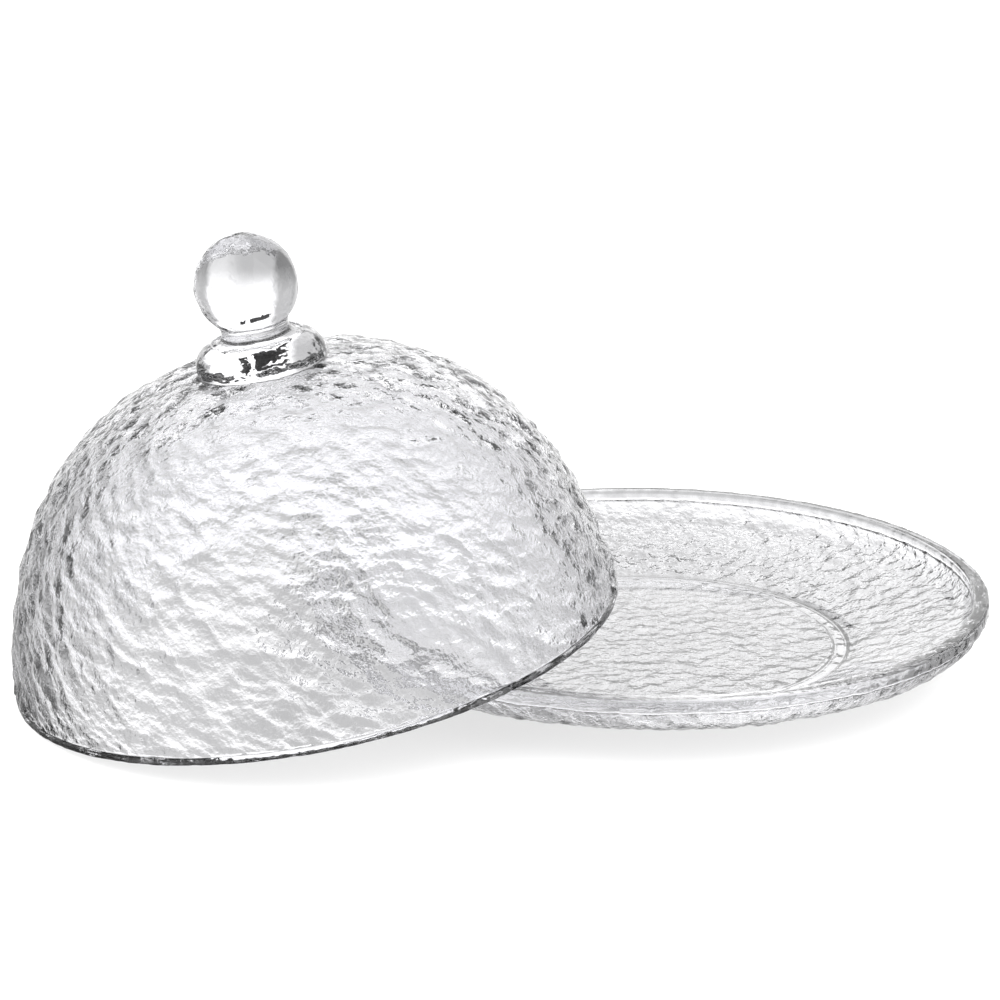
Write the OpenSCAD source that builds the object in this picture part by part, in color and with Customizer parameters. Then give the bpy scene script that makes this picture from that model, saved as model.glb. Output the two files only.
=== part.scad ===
// Covered serving tray in clear pressed glass: a shallow footed plate and a domed cover
// with a ball knob. The cover stands off the plate: the low edge of its rim is on the
// table, and its high side leans on the plate's lip at two points.
// Millimetres, +Z up, origin at the middle of the plate's foot ring on the table.
// The cover lies towards -X, so the whole set is laid out about the XZ plane.

/* [Plate] */
// Diameter across the outside of the lip
plate_d = 280; // [250:1:310]
// Height of the top of the lip above the table
plate_h = 30.2; // [27:0.1:36]
// Width of the flat lip round the top of the rim
lip_w = 6.5; // [5.5:0.1:8]
// Height of the smooth band round the outside of the rim
band_h = 5.8; // [5:0.1:7]
// Rounding of the edges of the lip
lip_round = 1.5; // [0.8:0.1:2]
// Thickness of the glass from the smooth inside to the deepest creases underneath
plate_t = 4; // [3.4:0.1:5]
// Radius of the turn from the sloping wall up into the rim, underneath
turn_r = 16; // [14:0.5:18]
// Radius of the same turn on the smooth inside
inner_turn_r = 10; // [8:0.5:11]
// Angle up to which the underside turns where it meets the band, in degrees
turn_end = 70; // [60:1:75]
// Outer diameter of the foot ring
foot_d = 168; // [150:1:180]
// Width of the foot ring
foot_w = 6.5; // [5:0.5:9]
// Height of the foot ring
foot_h = 2.2; // [1.8:0.1:3]
// Radius of the soft turn between the flat well and the wall
well_turn_r = 40; // [20:1:60]

/* [Cover] */
// Diameter across the rim
cover_d = 245; // [230:1:256]
// Height from the rim to the crown, without the knob
dome_h = 115.4; // [100:0.1:130]
// Thickness of the glass, out to the tops of the bumps
cover_t = 4.6; // [4:0.1:6]
// How upright the dome's side stands above the rim
dome_side = 1.64; // [1.5:0.01:2]
// How flat the dome's crown is
dome_crown = 2.72; // [2:0.01:3]
// Height of the smooth band round the rim
rim_h = 4; // [3:0.1:6]
// Rounding of the edges of the rim
rim_round = 1.2; // [0.6:0.1:1.5]

/* [Knob] */
// Diameter of the ball
ball_d = 40.2; // [34:0.1:46]
// Height of the knob's top above the crown
knob_h = 51; // [49:0.1:56]
// Diameter of the neck under the ball
neck_d = 26.4; // [22:0.1:30]
// Radius of the hollow turned round the neck
neck_round = 4.3; // [3.5:0.1:5]
// Diameter of the collar that the knob stands on
collar_d = 50.8; // [46:0.1:56]
// Radius of the collar's round shoulder
collar_round = 8.5; // [7:0.1:9.5]

/* [Hewn relief] */
// Depth of the bumps on the cover
cover_relief = 1.3; // [0.6:0.1:2]
// Depth of the bumps under the plate
plate_relief = 0.9; // [0.5:0.1:1.4]
// Width of one bump on the cover
cover_bump = 13; // [11:0.5:18]
// Width of one bump under the plate
plate_bump = 11; // [9:0.5:15]
// How many times longer than wide the bumps are down the cover's side
bump_stretch = 2; // [1:0.1:3]
// Turn of the bumps round the cover for each millimetre of height, in degrees
bump_twist = 0.35; // [0:0.05:0.6]

/* [Resting place of the cover] */
// Angle round the cover's rim from its high side to each point that rests on the plate's lip
touch_turn = 64; // [58:0.1:68]
// Clearance left where the cover's rim leans on the lip
rest_gap = 0.1; // [0.05:0.05:0.3]

/* [Hidden] */
$fn = 96;
glass = [0.86, 0.9, 0.92, 0.45];
eps = 0.01;
arc_steps = 12;

// Plate, from the rim inwards
plate_r = plate_d / 2;
foot_r = foot_d / 2;
band_z = plate_h - band_h;
band_inset = plate_relief + 0.1;
foot_round = 1;
turn_c = [plate_r - band_inset - turn_r * sin(turn_end), band_z + turn_r * cos(turn_end)];
wall_start = [foot_r, foot_h];
wall_run = norm(turn_c - wall_start);
wall_slope = atan2(turn_c.y - wall_start.y, turn_c.x - wall_start.x) - asin(turn_r / wall_run);
wall_len = sqrt(wall_run * wall_run - turn_r * turn_r);
well_z = foot_h + plate_t;

// The inside of the wall is a line parallel to the underside, plate_t above it
inner_start = wall_start + plate_t * [-sin(wall_slope), cos(wall_slope)];
function inner_line_z(r) = inner_start.y + (r - inner_start.x) * tan(wall_slope);
inner_turn_c = let (r = plate_r - lip_w - inner_turn_r) [r, inner_line_z(r) + inner_turn_r / cos(wall_slope)];
well_corner_r = inner_start.x + (well_z - inner_start.y) / tan(wall_slope);
well_turn_c = [well_corner_r - well_turn_r * tan(wall_slope / 2), well_z + well_turn_r];

plate_cols = 96;
wall_rows = 9;
turn_rows = 5;
well_cols = 60;
well_rows = 8;
well_centre_r = 6;

// Cover
cover_r = cover_d / 2;
cavity_r = cover_r - cover_t;
collar_r = collar_d / 2;
ball_r = ball_d / 2;
neck_r = neck_d / 2;
ball_z = dome_h + knob_h - ball_r;
neck_z = ball_z - sqrt(pow(ball_r + neck_round, 2) - pow(neck_r + neck_round, 2));
neck_overlap = 0.3;
collar_z = neck_z - neck_round - collar_round + neck_overlap;
cover_cols = 112;
dome_rows = 27;
cavity_steps = 28;

// Where the cover comes to rest. Its low edge is an arc of radius rim_round on the table.
// The flat of the rim meets the flat of the lip where the inner limit of the one crosses
// the outer limit of the other.
lip_touch_r = plate_r - lip_round;
rim_touch_r = cavity_r + rim_round;
touch_y = rim_touch_r * sin(touch_turn);
touch_x = -sqrt(lip_touch_r * lip_touch_r - touch_y * touch_y);
rim_pivot_r = cover_r - rim_round;
touch_run = rim_pivot_r + rim_touch_r * cos(touch_turn);
cover_tilt = asin((plate_h + rest_gap - rim_round) / norm([touch_run, rim_round])) + atan2(rim_round, touch_run);
pivot_x = touch_x - touch_run * cos(cover_tilt) - rim_round * sin(cover_tilt);

// Points along an arc, from angle a0 to angle a1
function arc(c, r, a0, a1, n = arc_steps) = [for (i = [0:n]) let (a = a0 + (a1 - a0) * i / n) c + r * [cos(a), sin(a)]];

// A repeatable number from 0 to 1 for a cell of space and a channel
function pick(cell, channel) = let (t = 43758.5453 * sin(cell * [127.1, 311.7, 74.7] + 53.3 * channel)) t - floor(t);

// Hewn glass: rounded bumps that meet in creases. Each unit cell of space holds one centre,
// and the height falls from 1 at a centre to 0 away from all of them.
function bump(p) =
    let (home = [for (v = p) floor(v)],
         near = min([for (i = [-1:1], j = [-1:1], k = [-1:1])
             let (cell = home + [i, j, k],
                  d = p - cell - [pick(cell, 1), pick(cell, 2), pick(cell, 3)]) d * d]))
    max(0, 1 - near / 0.9);

function turned(p, a) = [p.x * cos(a), p.x * sin(a), p.y];
function unit(v) = v / norm(v);

// A solid with one ring of points over the other, all with as many points, closed by flat ends
module skin(rings) {
    cols = len(rings[0]);
    rows = len(rings);
    polyhedron(
        points = [for (ring = rings) each ring],
        faces = [
            [for (i = [0:cols - 1]) i],
            for (j = [0:rows - 2], i = [0:cols - 1])
                let (a = j * cols + i, b = j * cols + (i + 1) % cols)
                each [[a, a + cols, b], [b, a + cols, b + cols]],
            [for (i = [cols - 1:-1:0]) (rows - 1) * cols + i]
        ]);
}

function ring(p, cols) = [for (i = [0:cols - 1]) turned(p, 360 * i / cols)];

// Underside of the plate: profile point and outward direction at row j
function wall_point(j) =
    j <= wall_rows
    ? wall_start + wall_len * j / wall_rows * [cos(wall_slope), sin(wall_slope)]
    : let (a = wall_slope + (turn_end - wall_slope) * (j - wall_rows) / turn_rows)
      turn_c + turn_r * [sin(a), -cos(a)];
function wall_out(j) =
    let (a = j <= wall_rows ? wall_slope : wall_slope + (turn_end - wall_slope) * (j - wall_rows) / turn_rows)
    [sin(a), -cos(a)];
function plate_bumps(base, out, cols) = [
    for (i = [0:cols - 1])
        let (a = 360 * i / cols, h = plate_relief * bump(turned(base, a) / plate_bump))
        turned(base + h * out, a)];

module wall_relief()
    skin([
        ring([foot_r - foot_w / 2, foot_h + eps], plate_cols),
        for (j = [1:wall_rows + turn_rows]) plate_bumps(wall_point(j), wall_out(j), plate_cols),
        ring([plate_r - lip_round, plate_h - lip_round], plate_cols)
    ]);

module well_relief() {
    edge_r = foot_r - foot_w + foot_round;
    skin([
        for (j = [0:well_rows])
            let (r = well_centre_r + (edge_r - well_centre_r) * j / well_rows)
            j == 0 ? ring([r, foot_h - plate_relief / 2], well_cols) : plate_bumps([r, foot_h], [0, -1], well_cols),
        ring([edge_r, foot_h + plate_t / 2], well_cols)
    ]);
}

module rim_band()
    rotate_extrude() {
        translate([0, band_z]) square([plate_r - lip_round, band_h]);
        translate([0, band_z + lip_round]) square([plate_r, band_h - 2 * lip_round]);
        for (z = [band_z + lip_round, plate_h - lip_round]) translate([plate_r - lip_round, z]) circle(lip_round);
    }

module foot_ring()
    rotate_extrude() {
        translate([foot_r - foot_w + foot_round, 0]) square([foot_w - 2 * foot_round, well_z - plate_t / 2]);
        translate([foot_r - foot_w, foot_round]) square([foot_w, well_z - plate_t / 2 - foot_round]);
        for (r = [foot_r - foot_w, foot_r - 2 * foot_round]) translate([r + foot_round, foot_round]) circle(foot_round);
    }

// The smooth inside: flat well, soft turn, sloping wall, turn up into the rim, rounded lip
module bowl()
    rotate_extrude()
        polygon(concat(
            [[0, well_z]],
            arc(well_turn_c, well_turn_r, -90, -90 + wall_slope, 5),
            arc(inner_turn_c, inner_turn_r, -90 + wall_slope, 0),
            arc([plate_r - lip_w + lip_round, plate_h - lip_round], lip_round, 180, 90, 5),
            [[plate_r - lip_w + lip_round, plate_h + 1], [0, plate_h + 1]]));

module plate()
    color(glass)
        difference() {
            union() {
                rim_band();
                wall_relief();
                foot_ring();
                well_relief();
            }
            bowl();
        }

// Dome outline: r and z at parameter t, from 0 at the rim to 90 at the crown
function dome_point(r, h, t) = [r * pow(cos(t), 2 / dome_crown), h * pow(sin(t), 2 / dome_side)];
function dome_out(t) = let (d = dome_point(cover_r, dome_h, t + 1) - dome_point(cover_r, dome_h, t - 1)) unit([d.y, -d.x]);

// Bumps on the cover run down its side and lean round it
function cover_bumps(base, out) = [
    for (i = [0:cover_cols - 1])
        let (a = 360 * i / cover_cols,
             q = turned(base, a + bump_twist * base.y),
             h = cover_relief * bump([q.x, q.y, q.z / bump_stretch] / cover_bump))
        turned(base + h * out, a)];

module dome_relief() {
    t0 = asin(pow(rim_h / dome_h, dome_side / 2));
    t1 = acos(pow((collar_r - collar_round) / cover_r, dome_crown / 2));
    top = dome_point(cover_r, dome_h, t1);
    skin([
        ring([cover_r - cover_relief - rim_round, rim_h / 2], cover_cols),
        for (j = [0:dome_rows - 1])
            let (t = t0 + (t1 - t0) * j / dome_rows, out = dome_out(t))
            cover_bumps(dome_point(cover_r, dome_h, t) - cover_relief * out, out),
        ring([top.x, top.y - cover_relief], cover_cols)
    ]);
}

module rim()
    rotate_extrude() {
        square([cover_r - rim_round, rim_h]);
        translate([0, rim_round]) square([cover_r, rim_h - 2 * rim_round]);
        for (z = [rim_round, rim_h - rim_round]) translate([cover_r - rim_round, z]) circle(rim_round);
    }

// Ball, neck with a hollow turned round it, and collar with a round shoulder
module knob() {
    translate([0, 0, ball_z]) sphere(ball_r);
    base_z = dome_h - cover_t / 2 - cover_relief / 2;
    neck_top = ball_z - ball_r * (ball_z - neck_z) / (ball_r + neck_round);
    rotate_extrude()
        difference() {
            union() {
                translate([0, base_z]) square([neck_r + neck_round, neck_top - base_z]);
                translate([0, base_z]) square([collar_r - collar_round, collar_z + collar_round - base_z]);
                translate([0, base_z]) square([collar_r, collar_z - base_z]);
                intersection() {
                    translate([collar_r - collar_round, collar_z]) circle(collar_round);
                    translate([0, collar_z - eps]) square([collar_r, collar_round + 2 * eps]);
                }
            }
            translate([neck_r + neck_round, neck_z]) circle(neck_round);
        }
}

module cavity()
    rotate_extrude()
        polygon(concat(
            [[0, -1], [cavity_r + rim_round, -1]],
            arc([cavity_r + rim_round, rim_round], rim_round, -90, -180, 4),
            [for (i = [2:cavity_steps]) dome_point(cavity_r, dome_h - cover_t, 90 * i / cavity_steps)]));

// Moves the cover from its own place, rim down at the origin, to where it leans
module as_it_rests()
    translate([pivot_x, 0, rim_round]) rotate([0, -cover_tilt, 0]) translate([rim_pivot_r, 0, -rim_round]) children();

module cover()
    color(glass)
        as_it_rests()
            difference() {
                union() {
                    rim();
                    dome_relief();
                    knob();
                }
                cavity();
            }

plate();
cover();
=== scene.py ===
"""Covered serving tray in clear pressed glass: a shallow footed plate, and a domed cover
with a ball knob that stands off it, one edge on the table and one leaning on the plate."""
import math

import bpy
import numpy as np
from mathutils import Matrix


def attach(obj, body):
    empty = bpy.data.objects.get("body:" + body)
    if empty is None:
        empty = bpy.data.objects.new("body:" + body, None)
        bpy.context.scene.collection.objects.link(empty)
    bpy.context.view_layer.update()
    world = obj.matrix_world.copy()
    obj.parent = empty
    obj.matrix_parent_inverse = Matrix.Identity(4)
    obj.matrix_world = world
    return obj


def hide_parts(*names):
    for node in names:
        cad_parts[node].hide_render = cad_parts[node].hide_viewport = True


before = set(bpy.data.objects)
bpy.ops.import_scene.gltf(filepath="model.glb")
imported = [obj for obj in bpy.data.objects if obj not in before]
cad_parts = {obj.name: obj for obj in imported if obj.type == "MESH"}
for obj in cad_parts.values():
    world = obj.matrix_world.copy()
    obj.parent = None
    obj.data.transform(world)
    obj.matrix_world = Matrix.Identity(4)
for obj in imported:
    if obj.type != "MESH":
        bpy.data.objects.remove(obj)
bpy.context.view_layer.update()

# The photograph's camera. It stands a little above the table on the cover's side, 1.23 m from
# the plate, with a long lens. Its place and aim come from the outlines of both pieces.
MM = 0.001
camera_distance = 1228.4 * MM
camera_height_angle = math.radians(19.495)
camera_side_angle = math.radians(18.14)
camera_aim = math.radians(15.126)
camera_dip = math.radians(16.584)
sensor = 36.0
focal_length_frames = 2.939

camera = bpy.data.objects.new("camera", bpy.data.cameras.new("camera"))
camera.data.sensor_width = sensor
camera.data.lens = sensor * focal_length_frames
reach = camera_distance * math.cos(camera_height_angle)
camera.location = (-reach * math.sin(camera_side_angle), -reach * math.cos(camera_side_angle),
                   camera_distance * math.sin(camera_height_angle))
camera.rotation_euler = (math.pi / 2 - camera_dip, 0, -camera_aim)
bpy.context.collection.objects.link(camera)
bpy.context.scene.camera = camera

# The plate is one pressing of soda-lime glass: a flat lip over a smooth band, a soft turn down
# into a sloping wall, a flat well, and a foot ring. The plunger left its upper side smooth and
# fire-polished. Its underside met a mould that was hewn by hand. Sizes are in millimetres.
plate_r, plate_h, glass_t = 140.0, 30.2, 4.0
lip_w, lip_round, band_h, band_turn = 6.5, 1.5, 5.8, 80.0
foot_r, foot_w, foot_h, foot_round = 84.0, 6.5, 2.2, 1.0
# the foot's inner draft and its last step, how far the hewn well and wall stay off it, and its
# sole, which is a little hollow
foot_draft, foot_lap, well_clear, wall_clear = 0.1, 0.2, 1.0, 1.2
sole_z, sole_inset = 0.3, 0.6
turn_r, turn_end, inner_turn_r, well_turn_r = 16.0, 70.0, 10.0, 40.0
# relief: its depth, how wide its bumps are, their part of the depth, how far it starts inside
# the glass, and how far and over what length a drift bends the flakes
plate_relief, plate_bump, plate_bump_share, plate_sunk = 0.9, 11.0, 0.6, 1.3
plate_bend, plate_bend_over, relief_gap = 3.0, 6.0, 0.1
# flakes: how wide, how high, how steep, and the number that their six channels follow
plate_flakes = [(7.0, 0.55, 1.0, 20), (3.8, 0.65, 1.3, 30)]
# the square of a mark's reach, in cells, how much of the relief each kind of surface takes, and
# from where on it counts as hewn
mark_spread = 0.9
smooth, rim_waver, hewn, hewn_from = 0, 0.25, 1, 0.5
# how far apart mesh points stand: on relief, on smooth glass, and along profiles
plate_grit, plate_plain = 1.15, 4.0
edge_step, foot_step, sole_step = 0.3, 0.5, 0.8
well_step, well_turn_step, inner_turn_step = 8, 1.5, 0.8


def linear(hex_colour):
    """An sRGB hex colour as linear RGBA."""
    parts = [int(hex_colour[i:i + 2], 16) / 255 for i in (1, 3, 5)]
    return [c / 12.92 if c <= 0.04045 else ((c + 0.055) / 1.055) ** 2.4 for c in parts] + [1.0]


def add(tree, kind, settings=(), **inputs):
    """Adds one node, with its settings and its inputs: a socket makes a link, a number a value."""
    node = tree.nodes.new(kind)
    for key, value in dict(settings).items():
        setattr(node, key, value)
    for key, value in inputs.items():
        socket = node.inputs[int(key[1:]) if key[1:].isdigit() else key.replace("_", " ")]
        if isinstance(value, bpy.types.NodeSocket):
            tree.links.new(value, socket)
        else:
            socket.default_value = value
    return node


def pressed_glass(name):
    """Clear soda-lime glass that lets lamps shine through it, and its tree and shader. It is a
    hair under white, which makes thick glass a little greyer and cooler."""
    material = bpy.data.materials.new(name)
    material.use_nodes = True
    tree = material.node_tree
    tree.nodes.clear()
    glass = add(tree, "ShaderNodeBsdfPrincipled", Roughness=0.0, IOR=1.52, Transmission_Weight=1.0,
                Base_Color=linear("#FDFDFF"))
    clear = add(tree, "ShaderNodeBsdfTransparent", Color=linear("#FCFCFC"))
    rays = add(tree, "ShaderNodeLightPath")
    lets_lamps_in = add(tree, "ShaderNodeMixShader", _0=rays.outputs["Is Shadow Ray"],
                        _1=glass.outputs[0], _2=clear.outputs[0])
    add(tree, "ShaderNodeOutputMaterial", Surface=lets_lamps_in.outputs[0])
    return material, tree, glass


# Where the plunger pressed it, the glass is fire-polished: mirror-smooth, with clean edges.
fire_polished_glass = pressed_glass("fire_polished_glass")[0]

# Against the mould it took the tool marks: chips a few millimetres across, and the grain of the
# cast iron. Their heights are in millimetres. They break up what the glass mirrors.
chip_w, chip_depth, grain_w, grain_height = 2.6, 0.3, 1.3, 0.35
mould_hewn_glass, tree, glass = pressed_glass("mould_hewn_glass")
place = add(tree, "ShaderNodeTexCoord").outputs["Object"]
chip = add(tree, "ShaderNodeTexVoronoi", Vector=place, Scale=1 / (chip_w * MM))
grain = add(tree, "ShaderNodeTexNoise", Vector=place, Scale=1 / (grain_w * MM), Detail=1.0, Roughness=0.5)
height = add(tree, "ShaderNodeMath", {"operation": "MULTIPLY"}, _0=chip.outputs["Distance"],
             _1=-chip_depth)
height = add(tree, "ShaderNodeMath", {"operation": "MULTIPLY_ADD"}, _0=grain.outputs["Fac"],
             _1=grain_height, _2=height.outputs[0])
bump = add(tree, "ShaderNodeBump", Height=height.outputs[0], Distance=MM, Strength=1.0)
tree.links.new(bump.outputs["Normal"], glass.inputs["Normal"])
glass.inputs["Roughness"].default_value = 0.06

# Rims, foot and knob were smoothed with a wooden paddle while soft, which left fine wrinkles in
# their skin. They make the reflections waver.
wrinkle_w, wrinkle_height = 4.0, 0.22
paddled_glass, tree, glass = pressed_glass("paddled_glass")
place = add(tree, "ShaderNodeTexCoord").outputs["Object"]
wrinkles = add(tree, "ShaderNodeTexNoise", Vector=place, Scale=1 / (wrinkle_w * MM), Detail=1.0,
               Roughness=0.5, Distortion=0.5)
bump = add(tree, "ShaderNodeBump", Height=wrinkles.outputs["Fac"], Distance=wrinkle_height * MM,
           Strength=1.0)
tree.links.new(bump.outputs["Normal"], glass.inputs["Normal"])


def pick(cell, channel):
    """A repeatable number from 0 to 1 for each cell of space and a channel."""
    t = 43758.5453 * np.sin(np.radians(cell @ np.array([127.1, 311.7, 74.7]) + 53.3 * channel))
    return t - np.floor(t)


def hewn_marks(points, channel, tilt=0.0):
    """The highest mark at each place, one mark to each unit cell of space, 1 at its top. Marks are
    round and meet in creases. With a tilt, each one leans its own way, which makes edges steep."""
    home = np.floor(points)
    best = np.zeros(len(points))
    for step in np.ndindex(3, 3, 3):
        cell = home + step - 1
        away = points - cell - np.stack([pick(cell, channel + c) for c in (1, 2, 3)], axis=1)
        mark = 1 - (away ** 2).sum(axis=1) / mark_spread
        if tilt:
            lean = tilt * (2 * np.stack([pick(cell, channel + c) for c in (4, 5, 6)], axis=1) - 1)
            mark += (lean * away).sum(axis=1)
        best = np.maximum(best, mark)
    return best


def drift(points, channels):
    """Smooth noise from 0 to 1 that changes over about one unit, for each channel."""
    home = np.floor(points)
    part = points - home
    part = part * part * (3 - 2 * part)
    total = np.zeros((len(points), len(channels)))
    for corner in np.ndindex(2, 2, 2):
        weight = np.where(corner, part, 1 - part).prod(axis=1)
        total += weight[:, None] * np.stack([pick(home + corner, c) for c in channels], axis=1)
    return total


def line(p, q, step):
    """Points from p to q, both in, no further apart than step."""
    n = max(1, math.ceil(math.dist(p, q) / step))
    return [(p[0] + (q[0] - p[0]) * i / n, p[1] + (q[1] - p[1]) * i / n) for i in range(n + 1)]


def arc(centre, radius, start, end, step):
    """Points along an arc from one angle to another, in degrees."""
    n = max(2, math.ceil(radius * abs(math.radians(end - start)) / step))
    angles = [math.radians(start + (end - start) * i / n) for i in range(n + 1)]
    return [(centre[0] + radius * math.cos(a), centre[1] + radius * math.sin(a)) for a in angles]


def zip_rings(na, nb, start_a, start_b):
    """Triangles between two rings of points, each ring a circle, or one point on the axis."""
    in_a = na if na > 1 else 0
    in_b = nb if nb > 1 else 0
    turns = np.concatenate([(np.arange(in_a) + 0.5) / na, (np.arange(in_b) + 0.5) / nb])
    of_a = np.arange(in_a + in_b)[np.argsort(turns, kind="stable")] < in_a
    ia = np.cumsum(of_a) - of_a
    ib = np.cumsum(~of_a) - ~of_a
    a0, a1 = start_a + ia % na, start_a + (ia + 1) % na
    b0, b1 = start_b + ib % nb, start_b + (ib + 1) % nb
    return np.stack([a0, np.where(of_a, a1, b1), b0], axis=1)


def turned_piece(name, stretches, relief, grit, plain):
    """A closed turned mesh. stretches are lists of profile points, each with how much of the
    relief it takes, out from the glass. Each ring has as many points as its size needs."""
    profile, share = [], []
    for points, amount in stretches:
        for p in points:
            if profile and math.dist(p, profile[-1]) < 1e-6:
                share[-1] = min(share[-1], amount)
                continue
            profile.append(p)
            share.append(amount)
    profile, share = np.array(profile), np.array(share)
    along = np.gradient(profile, axis=0)
    way_round = np.sign((profile[:-1, 0] * profile[1:, 1] - profile[1:, 0] * profile[:-1, 1]).sum())
    out = way_round * np.stack([along[:, 1], -along[:, 0]], axis=1)
    out /= np.linalg.norm(out, axis=1)[:, None] + 1e-12
    points, starts, counts = [], [], []
    for (r, z), (out_r, out_z), amount in zip(profile, out, share):
        n = max(3, round(2 * math.pi * r / (grit if amount > 0 else plain))) if r > 1e-6 else 1
        a = 2 * math.pi * np.arange(n) / n
        ring = np.stack([r * np.cos(a), r * np.sin(a), np.full(n, z)], axis=1)
        if amount > 0:
            away = np.stack([out_r * np.cos(a), out_r * np.sin(a), np.full(n, out_z)], axis=1)
            ring = ring + away * (amount * relief(ring))[:, None]
        starts.append(sum(counts))
        counts.append(n)
        points.append(ring)
    # the skin of each face is its glass: 0 fire-polished, 1 hewn, 2 paddled
    faces, skin = [], []
    for i in range(len(counts) - 1):
        faces.append(zip_rings(counts[i], counts[i + 1], starts[i], starts[i + 1]))
        amount = min(share[i], share[i + 1])
        skin.append(np.full(len(faces[-1]), 0 if amount == 0 else 1 if amount > hewn_from else 2))
    points, faces, skin = np.concatenate(points) * MM, np.concatenate(faces), np.concatenate(skin)
    corner = points[faces]
    if (corner[:, 0] * np.cross(corner[:, 1], corner[:, 2])).sum() < 0:
        faces = faces[:, ::-1]
    mesh = bpy.data.meshes.new(name)
    mesh.from_pydata(points.tolist(), [], faces.tolist())
    for skin_glass in (fire_polished_glass, mould_hewn_glass, paddled_glass):
        mesh.materials.append(skin_glass)
    mesh.polygons.foreach_set("material_index", skin.astype(np.int32))
    mesh.polygons.foreach_set("use_smooth", np.ones(len(faces), bool))
    mesh.update()
    piece = bpy.data.objects.new(name, mesh)
    bpy.context.collection.objects.link(piece)
    return piece


def plate_relief_at(points):
    """Height of the hewn relief under the plate, in millimetres: bumps, flakes, finer flakes."""
    bent = points + plate_bend * drift(points / plate_bend_over, (11, 12, 13))
    height = plate_bump_share * plate_relief * hewn_marks(points / plate_bump, 0) - plate_sunk
    for width, high, tilt, channel in plate_flakes:
        height += high * hewn_marks(bent / width, channel, tilt)
    return height


# Its profile, from the middle of the well over the lip and back underneath.
band_z = plate_h - band_h
lip_inner_r = plate_r - lip_w
turn_top = math.radians(turn_end)
turn_c = (plate_r - plate_relief - relief_gap - turn_r * math.sin(turn_top),
          band_z + turn_r * math.cos(turn_top))
wall_run = math.dist(turn_c, (foot_r, foot_h))
slope = math.degrees(math.atan2(turn_c[1] - foot_h, turn_c[0] - foot_r) - math.asin(turn_r / wall_run))
tilt = math.radians(slope)
wall_end = (turn_c[0] + turn_r * math.sin(tilt), turn_c[1] - turn_r * math.cos(tilt))
well_z = foot_h + glass_t
inner_start = (foot_r - glass_t * math.sin(tilt), foot_h + glass_t * math.cos(tilt))
inner_turn_x = lip_inner_r - inner_turn_r
inner_turn_c = (inner_turn_x, inner_start[1] + (inner_turn_x - inner_start[0]) * math.tan(tilt)
                + inner_turn_r / math.cos(tilt))
well_corner = inner_start[0] + (well_z - inner_start[1]) / math.tan(tilt)
well_turn_c = (well_corner - well_turn_r * math.tan(tilt / 2), well_z + well_turn_r)
foot_in = foot_r - foot_w

plate = turned_piece("pressed_plate", [
    (line((0, well_z), (well_turn_c[0], well_z), well_step), smooth),
    (arc(well_turn_c, well_turn_r, -90, -90 + slope, well_turn_step), smooth),
    (arc(inner_turn_c, inner_turn_r, -90 + slope, 0, inner_turn_step), smooth),
    (arc((lip_inner_r + lip_round, plate_h - lip_round), lip_round, 180, 90, edge_step), smooth),
    (arc((plate_r - lip_round, plate_h - lip_round), lip_round, 90, 0, edge_step), rim_waver),
    (arc((plate_r - lip_round, band_z + lip_round), lip_round, 0, -band_turn, edge_step), 2 * rim_waver),
    (arc(turn_c, turn_r, -90 + turn_end, -90 + slope, plate_grit), hewn),
    (line(wall_end, (foot_r + wall_clear, foot_h + wall_clear * math.tan(tilt)), plate_grit), hewn),
    (line((foot_r, foot_h), (foot_r, foot_round), foot_step), 2 * rim_waver),
    (arc((foot_r - foot_round, foot_round), foot_round, 0, -90, edge_step), rim_waver),
    (line((foot_r - foot_round - sole_inset, sole_z), (foot_in + foot_round + sole_inset, sole_z),
          sole_step), 2 * rim_waver),
    (arc((foot_in + foot_round, foot_round), foot_round, -90, -180, edge_step), rim_waver),
    (line((foot_in, foot_h - foot_lap), (foot_in - foot_draft, foot_h), edge_step), 2 * rim_waver),
    (line((foot_in - well_clear, foot_h), (1, foot_h), plate_grit), hewn),
    ([(0, foot_h)], smooth),
], plate_relief_at, plate_grit, plate_plain)
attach(plate, "root")
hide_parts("plate")

# The cover is a second pressing: a dome with a smooth rim, and a ball knob on a turned neck and
# collar, fused to the crown while hot. Its outside met the hewn mould, its inside the plunger.
# The dome's two powers would be 2 if its outline were an ellipse.
cover_r, dome_h, cover_t = 122.5, 115.4, 4.6
dome_side, dome_crown, dome_slope_reach = 1.64, 2.72, 0.5
rim_h, rim_round, rim_edge, rim_turn = 2.6, 1.2, 0.5, 80.0
ball_r, knob_h, neck_r, neck_round = 20.1, 51.0, 13.2, 4.3
collar_r, collar_round, collar_turn, collar_drop = 25.4, 8.5, 85.0, 1.5
collar_lap, collar_rise, neck_foot_turn = 0.4, 0.3, 80.0
# relief, as under the plate: its bumps are drawn out down the side and twisted round it for each
# millimetre of height, and the flakes are pressed shorter again
cover_relief, cover_bump, cover_bump_share, cover_sunk = 1.3, 13.0, 0.7, 1.8
cover_bend, cover_bend_over = 5.0, 7.0
bump_stretch, bump_twist, flake_press = 2.0, math.radians(0.35), 2.2
cover_flakes = [(8.5, 1.4, 1.1, 20), (4.5, 0.8, 1.3, 30)]
knob_waver, ball_waver = 0.16, 0.28
# where the rim touches the lip, round from its high side, and the gap that is left there
touch_turn, rest_gap = math.radians(64), 0.1
# how far apart mesh points stand, as on the plate, the rows up the dome and its cavity, and the
# degree where the cavity's rows end. The ball's outline ends a hair before its top, and one
# point closes it there.
cover_grit, cover_plain = 1.27, 1.8
dome_rows, cavity_rows, cavity_low = 144, 60, 3
low_edge_step, collar_step, shoulder_step, neck_step, ball_step = 0.25, 0.8, 0.7, 0.5, 1.2
ball_end = 89.9


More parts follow.
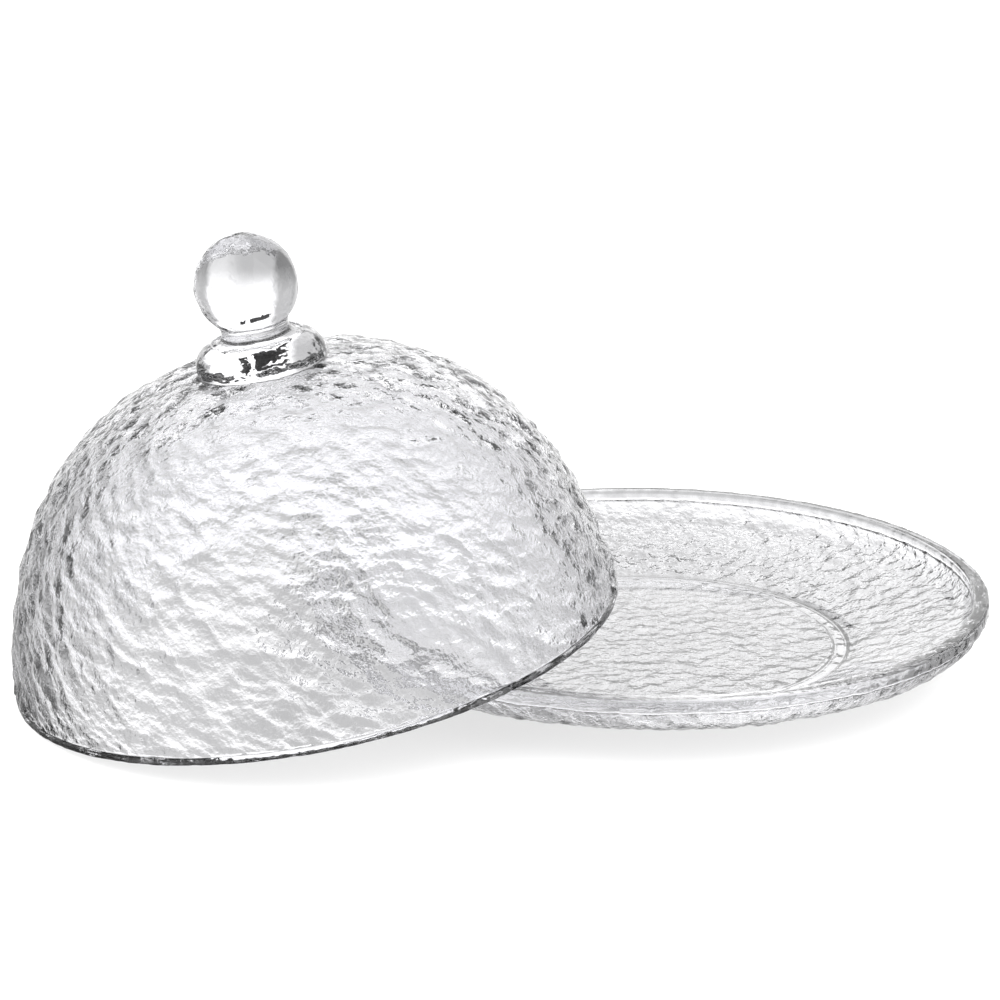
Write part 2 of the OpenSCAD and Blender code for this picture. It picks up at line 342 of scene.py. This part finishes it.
def dome(r, h, t):
    """A point of the dome's outline, from the rim at 0 to the crown at 90 degrees."""
    t = math.radians(t)
    return (r * max(0.0, math.cos(t)) ** (2 / dome_crown), h * math.sin(t) ** (2 / dome_side))


def dome_line(r, h, t0, t1, n, sunk):
    """Points along the dome's outline, set in by sunk."""
    points = []
    for i in range(n + 1):
        t = t0 + (t1 - t0) * i / n
        a, b = dome(r, h, max(t - dome_slope_reach, 0)), dome(r, h, min(t + dome_slope_reach, 90))
        length = math.dist(a, b)
        r1, z1 = dome(r, h, t)
        points.append((r1 - sunk * (b[1] - a[1]) / length, z1 + sunk * (b[0] - a[0]) / length))
    return points


def cover_flow(points):
    """Places on the cover, turned and drawn out so that marks run down its side and lean round it."""
    turn = bump_twist * points[:, 2]
    return np.stack([points[:, 0] * np.cos(turn) - points[:, 1] * np.sin(turn),
                     points[:, 0] * np.sin(turn) + points[:, 1] * np.cos(turn),
                     points[:, 2] / bump_stretch], axis=1)


def cover_relief_at(points):
    """Height of the hewn relief on the cover, in millimetres: bumps, flakes, finer flakes."""
    flow = cover_flow(points)
    bent = flow * (1, 1, flake_press) + cover_bend * drift(flow / cover_bend_over, (11, 12, 13))
    height = cover_bump_share * cover_relief * hewn_marks(flow / cover_bump, 0) - cover_sunk
    for width, high, tilt, channel in cover_flakes:
        height += high * hewn_marks(bent / width, channel, tilt)
    return height


cavity_r = cover_r - cover_t
ball_z = dome_h + knob_h - ball_r
neck_z = ball_z - math.sqrt((ball_r + neck_round) ** 2 - (neck_r + neck_round) ** 2)
collar_z = neck_z - neck_round - collar_round + collar_rise
rim_t = math.degrees(math.asin((rim_h / dome_h) ** (dome_side / 2)))
collar_t = math.degrees(math.acos((collar_r / cover_r) ** (dome_crown / 2)))
neck_turn = math.degrees(math.atan2(ball_z - neck_z, neck_r + neck_round))
cover = turned_piece("pressed_cover", [
    (dome_line(cavity_r, dome_h - cover_t, 90, cavity_low, cavity_rows, 0), smooth),
    (arc((cavity_r + rim_round, rim_round), rim_round, 180, 270, edge_step), smooth),
    (arc((cover_r - rim_edge, rim_edge), rim_edge, -90, 0, low_edge_step), knob_waver),
    (arc((cover_r - rim_round, rim_h - rim_round), rim_round, 0, rim_turn, edge_step), knob_waver),
    (dome_line(cover_r, dome_h, rim_t, collar_t - collar_lap, dome_rows, cover_relief), hewn),
    (line((collar_r, dome_h - collar_drop), (collar_r, collar_z), collar_step), knob_waver),
    (arc((collar_r - collar_round, collar_z), collar_round, 0, collar_turn, shoulder_step), knob_waver),
    (arc((neck_r + neck_round, neck_z), neck_round, -neck_foot_turn, -180 - neck_turn,
         neck_step), knob_waver),
    (arc((0, ball_z), ball_r, -neck_turn, ball_end, ball_step), ball_waver),
    ([(0, ball_z + ball_r)], ball_waver),
], cover_relief_at, cover_grit, cover_plain)

# It lies where the plate's lip carries it: the flat of its rim meets the flat of the lip at two
# points, and its low edge is on the table.
lip_touch_r, rim_touch_r = plate_r - lip_round, cavity_r + rim_round
touch_y = rim_touch_r * math.sin(touch_turn)
pivot_r = cover_r - rim_round
touch_run = pivot_r + rim_touch_r * math.cos(touch_turn)
lean = (math.asin((plate_h + rest_gap - rim_round) / math.hypot(touch_run, rim_round))
        + math.atan2(rim_round, touch_run))
pivot_x = (-math.sqrt(lip_touch_r ** 2 - touch_y ** 2) - touch_run * math.cos(lean)
           - rim_round * math.sin(lean))
places = np.empty(len(cover.data.vertices) * 3)
cover.data.vertices.foreach_get("co", places)
places = places.reshape(-1, 3) / MM + (pivot_r, 0, -rim_round)
places = np.stack([places[:, 0] * math.cos(lean) - places[:, 2] * math.sin(lean) + pivot_x,
                   places[:, 1],
                   places[:, 0] * math.sin(lean) + places[:, 2] * math.cos(lean) + rim_round], axis=1)
cover.data.vertices.foreach_set("co", (places * MM).ravel())
cover.data.update()
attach(cover, "root")
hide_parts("cover")

# The table is a wide sheet of matt white paper board, a hair under the foot and the cover's low
# edge. The glass doesn't mirror or bend it, because the room below stands for it there.
table_reach, table_drop = 6, 0.4 * MM
table = bpy.data.objects.new("table", bpy.data.meshes.new("table"))
corners = [(-table_reach, -table_reach, 0), (table_reach, -table_reach, 0),
           (table_reach, table_reach, 0), (-table_reach, table_reach, 0)]
table.data.from_pydata(corners, [], [(0, 1, 2, 3)])
paper = bpy.data.materials.new("matt_white_table")
paper.use_nodes = True
paper.node_tree.nodes["Principled BSDF"].inputs["Base Color"].default_value = linear("#F6F6F6")
paper.node_tree.nodes["Principled BSDF"].inputs["Roughness"].default_value = 0.9
table.data.materials.append(paper)
table.location.z = -table_drop
bpy.context.collection.objects.link(table)
table.visible_transmission = False
table.visible_glossy = False

# The studio room is what clear glass shows: its light comes only from directions, so the room
# has no walls to meet. It is white about the middle of the backdrop, and the greys round that
# draw the edges of the glass.
world = bpy.data.worlds.new("studio")
world.use_nodes = True
sky = world.node_tree
sky.nodes.clear()
direction = add(sky, "ShaderNodeTexCoord").outputs["Generated"]
ahead = (math.sin(camera_aim), math.cos(camera_aim), 0.0)
aside = (math.cos(camera_aim), -math.sin(camera_aim), 0.0)
up, forward, across = [add(sky, "ShaderNodeVectorMath", {"operation": "DOT_PRODUCT"}, _0=direction,
                           _1=axis).outputs["Value"] for axis in ((0.0, 0.0, 1.0), ahead, aside)]
off = add(sky, "ShaderNodeMath", {"operation": "ABSOLUTE"}, _0=across).outputs[0]


def room_light(*spans):
    """How bright the room is in each direction. Each span is a measure of the direction, from
    where to where on it the light changes, and the light before and after. Spans multiply."""
    parts = [add(sky, "ShaderNodeMapRange", {"interpolation_type": "SMOOTHSTEP"}, Value=measure,
                 From_Min=low, From_Max=high, To_Min=before, To_Max=after).outputs["Result"]
             for measure, low, high, before, after in spans]
    light = parts[0]
    for part in parts[1:]:
        light = add(sky, "ShaderNodeMath", {"operation": "MULTIPLY"}, _0=light, _1=part).outputs[0]
    return light


# a dark window high in the backdrop, with a white glazing bar, which the knob's collar shows
window_slant, window_light = 0.25, 0.01
window_sill, window_head = (0.385, 0.395), (0.48, 0.5)
window_left, window_right = (-0.46, -0.42), (0.03, 0.06)
bar_left, bar_right = (-0.12, -0.105), (-0.065, -0.05)
window_height = add(sky, "ShaderNodeMath", {"operation": "MULTIPLY_ADD"}, _0=across, _1=-window_slant,
                    _2=up).outputs[0]
glazing_bar = room_light((across, *bar_left, 0.0, 1.0), (across, *bar_right, 1.0, 0.0))
window = room_light((window_height, *window_sill, 0.0, 1.0), (window_height, *window_head, 1.0, 0.0),
                    (across, *window_left, 0.0, 1.0), (across, *window_right, 1.0, 0.0),
                    (glazing_bar, 0.0, 1.0, 1.0, 0.0))

# the backdrop is darker to the sides, downwards, there most on the left, and overhead
backdrop_sides, middle_light, side_light = (0.4, 0.56), 1.6, 0.6
backdrop_low, low_sides, low_left_light, low_right_light = (-0.48, 0.08), (-0.05, 0.25), 0.35, 0.5
ceiling, ceiling_light = (0.6, 0.85), 0.35
low_light = room_light((across, *low_sides, low_left_light, low_right_light))
backdrop = room_light((off, *backdrop_sides, middle_light, side_light),
                      (up, *backdrop_low, low_light, 1.0), (up, *ceiling, 1.0, ceiling_light),
                      (window, 0.0, 1.0, 1.0, window_light))

# behind the camera there is a dim gap between two white panels
turn_back, panel_edge, gap_light, panel_light = (-0.25, -0.05), (0.26, 0.34), 0.4, 1.15
panels = room_light((off, *panel_edge, gap_light, panel_light))
behind = room_light((forward, *turn_back, 1.0, 0.0))

# straight down, the table is brighter on the right
turn_down, table_sides, table_left_light, table_right_light = (-0.88, -0.68), (-0.3, 0.3), 0.3, 1.1
table_light = room_light((across, *table_sides, table_left_light, table_right_light))
below = room_light((up, *turn_down, 1.0, 0.0))
lit = add(sky, "ShaderNodeMix", _0=behind, _2=backdrop, _3=panels)
lit = add(sky, "ShaderNodeMix", _0=below, _2=lit.outputs[0], _3=table_light)
# the lens itself sees the backdrop as plain white
rays = add(sky, "ShaderNodeLightPath")
shown = add(sky, "ShaderNodeMath", {"operation": "MAXIMUM"}, _0=lit.outputs[0],
            _1=rays.outputs["Is Camera Ray"])
glow = add(sky, "ShaderNodeBackground", Color=linear("#FFFFFF"), Strength=shown.outputs[0])
add(sky, "ShaderNodeOutputWorld", Surface=glow.outputs[0])
bpy.context.scene.world = world

# A wide softbox hangs overhead and gives the table its soft, pale shadow. The glass doesn't
# mirror it. Light is followed a few mirrorings deep, which keeps the flecks of the relief dark.
lamp = bpy.data.lights.new("overhead_softbox", "SUN")
lamp.angle = math.radians(100)
lamp.energy = 4.2
softbox = bpy.data.objects.new("overhead_softbox", lamp)
softbox.visible_glossy = False
softbox.visible_transmission = False
bpy.context.collection.objects.link(softbox)
cycles = bpy.context.scene.cycles
cycles.caustics_reflective = False
cycles.caustics_refractive = False
cycles.max_bounces = 24
cycles.transmission_bounces = 24
cycles.glossy_bounces = 4
bpy.context.scene.view_settings.view_transform = "Standard"
